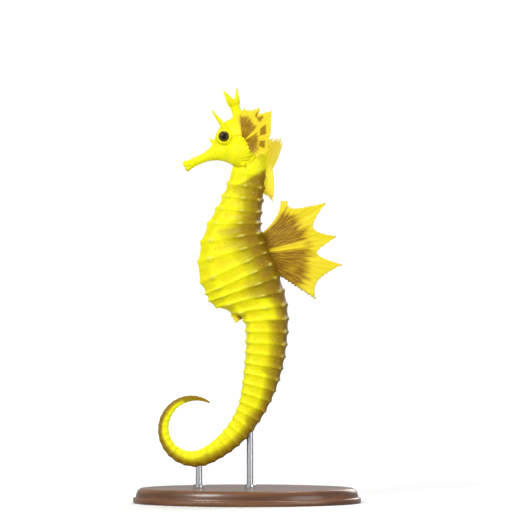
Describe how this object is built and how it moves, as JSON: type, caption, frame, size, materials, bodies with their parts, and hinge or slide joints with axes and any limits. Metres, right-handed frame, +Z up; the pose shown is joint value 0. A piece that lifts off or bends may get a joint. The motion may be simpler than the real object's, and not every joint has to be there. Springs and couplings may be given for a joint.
{
  "type": "seahorse model on a display stand",
  "caption": "Still life-size yellow seahorse, upright with a curled tail, a spread back fin and a crowned head, on a flat oval base with short rods.",
  "frame": {"origin": "centre of the underside of the stand's base", "axes": "+Z up, -X the way the head faces, -Y the animal's left side; the body curls in the XZ plane"},
  "size_m": [0.076, 0.048, 0.1384],
  "materials": {
    "skin": "moist bony-plated skin, vivid yellow, brown-olive along the back",
    "fin": "thin translucent yellow membrane with rays, brown near the root",
    "eye": "glossy black eye with a thin gold ring",
    "stand_wood": "satin varnished hardwood",
    "stand_steel": "brushed rod"
  },
  "bodies": {
    "root": {"head": "skin", "snout": "skin", "lower_jaw": "skin", "coronet": "skin", "gill_cover_left": "skin", "gill_cover_right": "skin", "eye_left": "eye", "eye_right": "eye", "neck": "skin", "chest": "skin", "belly": "skin", "tail_root": "skin", "tail_upper": "skin", "tail_middle": "skin", "tail_bend": "skin", "tail_curl": "skin", "tail_tip": "skin", "mane": "fin", "dorsal_fin": "fin", "pectoral_fin_left": "fin", "pectoral_fin_right": "fin", "anal_fin": "fin", "stand_base": "stand_wood", "stand_rod_front": "stand_steel", "stand_rod_back": "stand_steel"}
  },
  "joints": []
}
